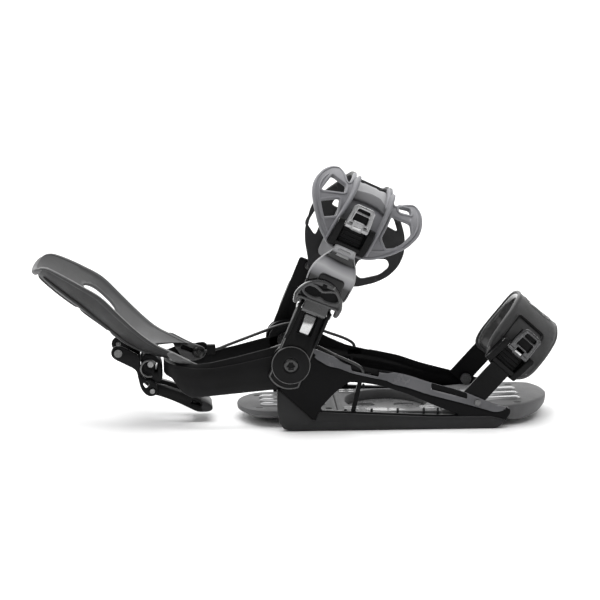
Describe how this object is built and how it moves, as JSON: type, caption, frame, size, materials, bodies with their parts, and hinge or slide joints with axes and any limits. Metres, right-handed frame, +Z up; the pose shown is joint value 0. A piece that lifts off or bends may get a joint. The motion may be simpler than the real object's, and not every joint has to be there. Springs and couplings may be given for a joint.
{
  "type": "snowboard binding",
  "caption": "Rear-entry snowboard binding: railed chassis with mounting disc, reclining heel loop and highback held by steel cables, ankle and toe straps with ratchets",
  "frame": {"origin": "centre of the mounting disc's bolt pattern, on the underside of the chassis", "axes": "+X to the toe end, +Y to the side away from the ratchets, +Z up from the board"},
  "size_m": [0.5233, 0.138, 0.259],
  "materials": {
    "rail_gloss": "high gloss black moulding",
    "loop_satin": "satin black moulding",
    "black_plastic": "fine-textured black moulding",
    "footbed_foam": "grey moulded foam rubber",
    "highback_grey": "matte dark grey moulding",
    "pad_foam": "soft moulded foam",
    "strap_grey": "soft-touch grey moulding",
    "strap_dark": "dark grained synthetic leather",
    "lining": "woven lining",
    "lever_silver": "brushed silver-grey",
    "shield_gloss": "high gloss black",
    "lever_grey": "glossy dark grey",
    "steel": "bright steel",
    "dark_steel": "dark plated steel",
    "cable_steel": "coated steel cable"
  },
  "bodies": {
    "base": {"chassis": "rail_gloss", "heel_footbed": "footbed_foam", "middle_footbed": "footbed_foam", "toe_footbed": "footbed_foam", "footbed_screws": "steel", "pivot_bolts": "dark_steel", "pivot_washers": "steel", "pivot_caps": "black_plastic", "cable_anchors": "steel", "toe_strap_bolts": "dark_steel", "cable_near": "cable_steel", "cable_far": "cable_steel"},
    "disc": {"mounting_disc": "black_plastic"},
    "heel_loop": {"heel_loop": "loop_satin", "heel_cushion": "pad_foam", "cable_guides": "black_plastic", "lean_bolts": "dark_steel"},
    "highback": {"highback": "highback_grey", "highback_pad": "pad_foam", "highback_hinges": "black_plastic", "lean_block": "black_plastic", "lean_block_screw": "steel", "lever_cradle": "black_plastic", "cradle_screws": "steel", "lever_pin": "steel"},
    "lock_lever": {"lock_lever": "black_plastic"},
    "ankle_strap": {"ankle_bracket_near": "black_plastic", "ankle_bracket_far": "black_plastic", "quick_lever_pin": "steel", "quick_lever_spring": "steel", "ankle_ladder": "black_plastic", "ladder_shield": "shield_gloss", "far_strap_screws": "dark_steel", "ankle_strap": "strap_grey", "ankle_pad": "lining", "ankle_ratchet_base": "black_plastic", "ankle_ratchet_pin": "steel", "ankle_ratchet_spring": "steel"},
    "quick_lever": {"quick_lever": "lever_grey"},
    "ankle_ratchet_lever": {"ankle_ratchet_lever": "lever_silver"},
    "toe_strap": {"toe_ladder": "black_plastic", "toe_far_band": "black_plastic", "toe_band_screws": "dark_steel", "toe_strap": "black_plastic", "toe_strap_pad": "strap_dark", "toe_ratchet_base": "black_plastic", "toe_ratchet_pin": "steel", "toe_ratchet_spring": "steel"},
    "toe_ratchet_lever": {"toe_ratchet_lever": "lever_silver"}
  },
  "joints": [
    {"name": "disc_turn", "type": "hinge", "parent": "base", "child": "disc", "pos_m": [0, 0, 0.003], "axis": [0, 0, 1], "continuous": true},
    {"name": "recline", "type": "hinge", "parent": "base", "child": "heel_loop", "pos_m": [-0.0996, 0, 0.0685], "axis": [0, 1, 0], "range_deg": [0, 52], "deforming": ["cable_near", "cable_far"]},
    {"name": "forward_lean", "type": "hinge", "parent": "heel_loop", "child": "highback", "pos_m": [-0.188, 0, 0.058], "axis": [0, 1, 0], "range_deg": [0, 12]},
    {"name": "lock_lever_swing", "type": "hinge", "parent": "highback", "child": "lock_lever", "pos_m": [-0.2355, 0, 0.0336], "axis": [0, 1, 0], "range_deg": [0, 195]},
    {"name": "ankle_swing", "type": "hinge", "parent": "base", "child": "ankle_strap", "pos_m": [-0.0996, 0, 0.0685], "axis": [0, 1, 0], "range_deg": [-12, 20]},
    {"name": "quick_lever_swing", "type": "hinge", "parent": "ankle_strap", "child": "quick_lever", "pos_m": [-0.07724, -0.0655, 0.12385], "axis": [0.9272, 0, -0.3746], "range_deg": [0, 100]},
    {"name": "ankle_ratchet_swing", "type": "hinge", "parent": "ankle_strap", "child": "ankle_ratchet_lever", "pos_m": [-0.03578, -0.063, 0.20535], "axis": [0.9063, 0, -0.4226], "range_deg": [0, 75]},
    {"name": "toe_swing", "type": "hinge", "parent": "base", "child": "toe_strap", "pos_m": [0.086, 0, 0.026], "axis": [0, 1, 0], "range_deg": [-15, 12]},
    {"name": "toe_ratchet_swing", "type": "hinge", "parent": "toe_strap", "child": "toe_ratchet_lever", "pos_m": [0.12511, -0.055, 0.07691], "axis": [0.7431, 0, -0.6691], "range_deg": [0, 75]}
  ]
}
